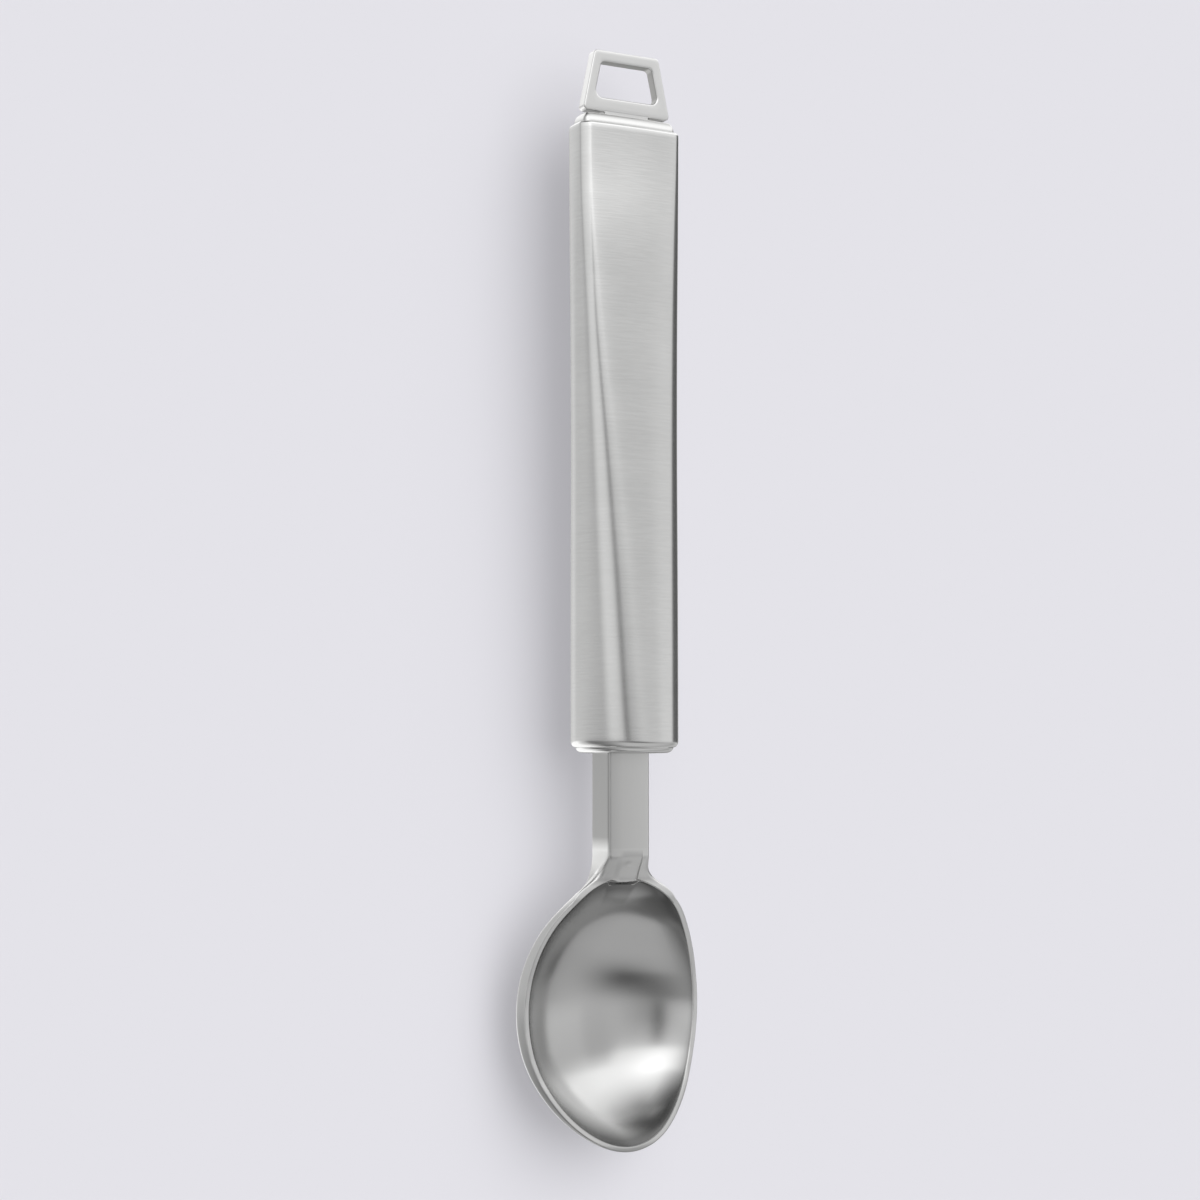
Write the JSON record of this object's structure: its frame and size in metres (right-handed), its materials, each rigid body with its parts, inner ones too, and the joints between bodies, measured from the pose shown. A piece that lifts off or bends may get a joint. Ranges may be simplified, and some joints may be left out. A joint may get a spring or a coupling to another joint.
{
  "type": "ice cream scoop",
  "caption": "Solid spoon-type ice cream scoop: hollow steel tube handle, flat at the hanging loop and nearly round at the short square neck, and a thick-walled bowl with a pointed tip.",
  "frame": {"origin": "bottom centre of the bounding box: under the middle of the tool's length, level with the lowest point of the bowl", "axes": "+Y runs along the handle from the bowl's tip to the hanging loop (longest extent), +Z is the side that the bowl opens to, +X runs across the tool"},
  "size_m": [0.0408, 0.2187, 0.0245],
  "materials": {
    "bowl_steel": "satin polished inside and out, brushed fine, rim edges bright",
    "neck_steel": "satin, brushed along the neck",
    "handle_steel": "satin, brushed fine across the handle",
    "cap_steel": "polished bright",
    "loop_steel": "polished bright with soft edges",
    "weld_steel": "as welded, hidden inside the handle"
  },
  "bodies": {
    "root": {"bowl": "bowl_steel", "neck_shank": "neck_steel", "neck_weld_seam": "neck_steel", "handle_tube": "handle_steel", "lower_end_cap": "cap_steel", "upper_end_cap": "cap_steel", "hanging_loop": "loop_steel", "tang_weld": "weld_steel", "loop_stem_weld": "weld_steel"}
  },
  "joints": []
}
